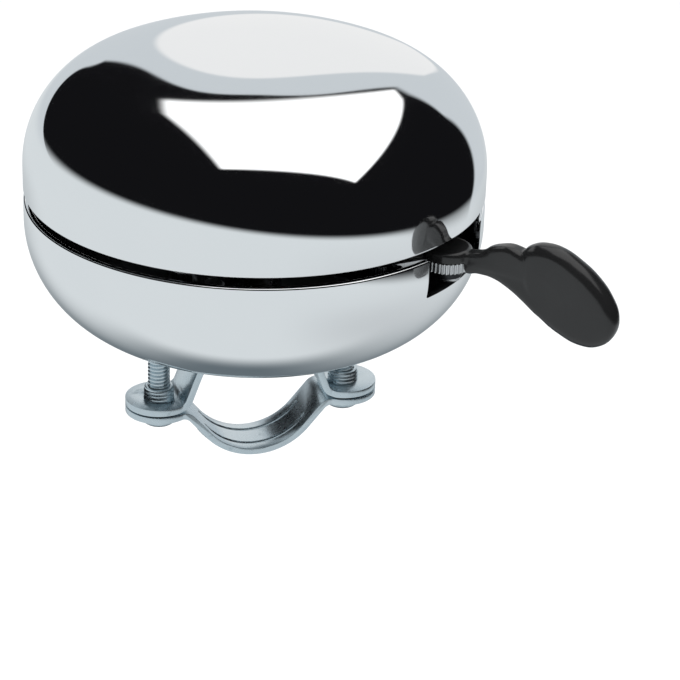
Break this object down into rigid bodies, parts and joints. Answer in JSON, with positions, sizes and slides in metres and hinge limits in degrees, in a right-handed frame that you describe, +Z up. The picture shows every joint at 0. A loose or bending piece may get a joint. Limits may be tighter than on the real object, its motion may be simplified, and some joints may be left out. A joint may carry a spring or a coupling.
{
  "type": "bicycle bell",
  "caption": "Round double-dome bicycle bell with a thumb lever, gear-driven rotary strikers and a two-piece handlebar clamp.",
  "frame": {"origin": "centre of the handlebar clamp's bore, at the middle of the strap's width", "axes": "+Y along the handlebar, +X from clamp screw to clamp screw, +Z up the bell's axis from the bar to the top of the dome"},
  "size_m": [0.0909, 0.0878, 0.0786],
  "materials": {
    "chrome_plate": "mirror-polished chromium plate on spun steel",
    "zinc_plate": "bright bluish zinc plate on pressed steel",
    "bright_steel": "turned and pressed steel, nickel bright",
    "spring_steel": "oiled spring steel",
    "dark_plate": "phosphated pressed steel",
    "gear_steel": "stamped and hobbed steel",
    "brass": "turned brass",
    "fibre": "vulcanised fibre",
    "black_plastic": "moulded satin black",
    "grey_plastic": "moulded"
  },
  "bodies": {
    "base": {"baseplate": "dark_plate", "bottom_gong": "chrome_plate", "bottom_gong_lug": "bright_steel", "centre_post": "bright_steel", "dome_boss": "bright_steel", "dome_stop_nut": "bright_steel", "dome_washer": "fibre", "gong_washer": "fibre", "idler_axle": "bright_steel", "idler_clip": "spring_steel", "lever_pivot": "bright_steel", "lock_washer": "spring_steel", "post_nut": "bright_steel", "return_spring": "spring_steel", "rotor_bush": "brass", "saddle_spacer": "grey_plastic", "spacer_sleeve": "bright_steel", "stop_pins": "bright_steel", "top_gong": "chrome_plate", "top_gong_lug": "bright_steel", "upper_strap": "zinc_plate"},
    "lever": {"thumb_lever": "black_plastic", "lever_sector": "bright_steel"},
    "idler": {"idler_pinion": "gear_steel", "idler_wheel": "gear_steel"},
    "rotor": {"rotor_pinion": "gear_steel", "striker_bar": "spring_steel", "upper_hammer": "bright_steel", "lower_hammer": "bright_steel"},
    "lower_clamp": {"lower_strap": "zinc_plate"},
    "screw_left": {"clamp_screw_left": "zinc_plate"},
    "screw_right": {"clamp_screw_right": "zinc_plate"}
  },
  "joints": [
    {"name": "lever_press", "type": "hinge", "parent": "base", "child": "lever", "pos_m": [0.0269, -0.02598, 0.0325], "axis": [0, 0, -1], "range_deg": [0, 40], "stiffness_Nm_per_rad": 0.02, "springref_deg": -17.19},
    {"name": "idler_spin", "type": "hinge", "parent": "base", "child": "idler", "pos_m": [0.01196, -0.01155, 0.0335], "axis": [0, 0, -1], "range_deg": [-120, 0]},
    {"name": "rotor_spin", "type": "hinge", "parent": "base", "child": "rotor", "pos_m": [0, 0, 0.0345], "axis": [0, 0, -1], "range_deg": [0, 200], "deforming": ["return_spring"]},
    {"name": "clamp_open", "type": "slide", "parent": "base", "child": "lower_clamp", "axis": [0, 0, -1], "range_m": [0, 0.01]},
    {"name": "screw_left_turn", "type": "hinge", "parent": "lower_clamp", "child": "screw_left", "pos_m": [-0.01703, 0, -0.004], "axis": [0, 0, -1], "range_deg": [0, 5143]},
    {"name": "screw_right_turn", "type": "hinge", "parent": "lower_clamp", "child": "screw_right", "pos_m": [0.01703, 0, -0.004], "axis": [0, 0, -1], "range_deg": [0, 5143]}
  ],
  "couplings": [
    {"joint": "idler_spin", "follows": "lever_press", "ratio": -3},
    {"joint": "rotor_spin", "follows": "lever_press", "ratio": 5},
    {"joint": "screw_left_turn", "follows": "clamp_open", "rad_per_m": 8976},
    {"joint": "screw_right_turn", "follows": "clamp_open", "rad_per_m": 8976}
  ]
}
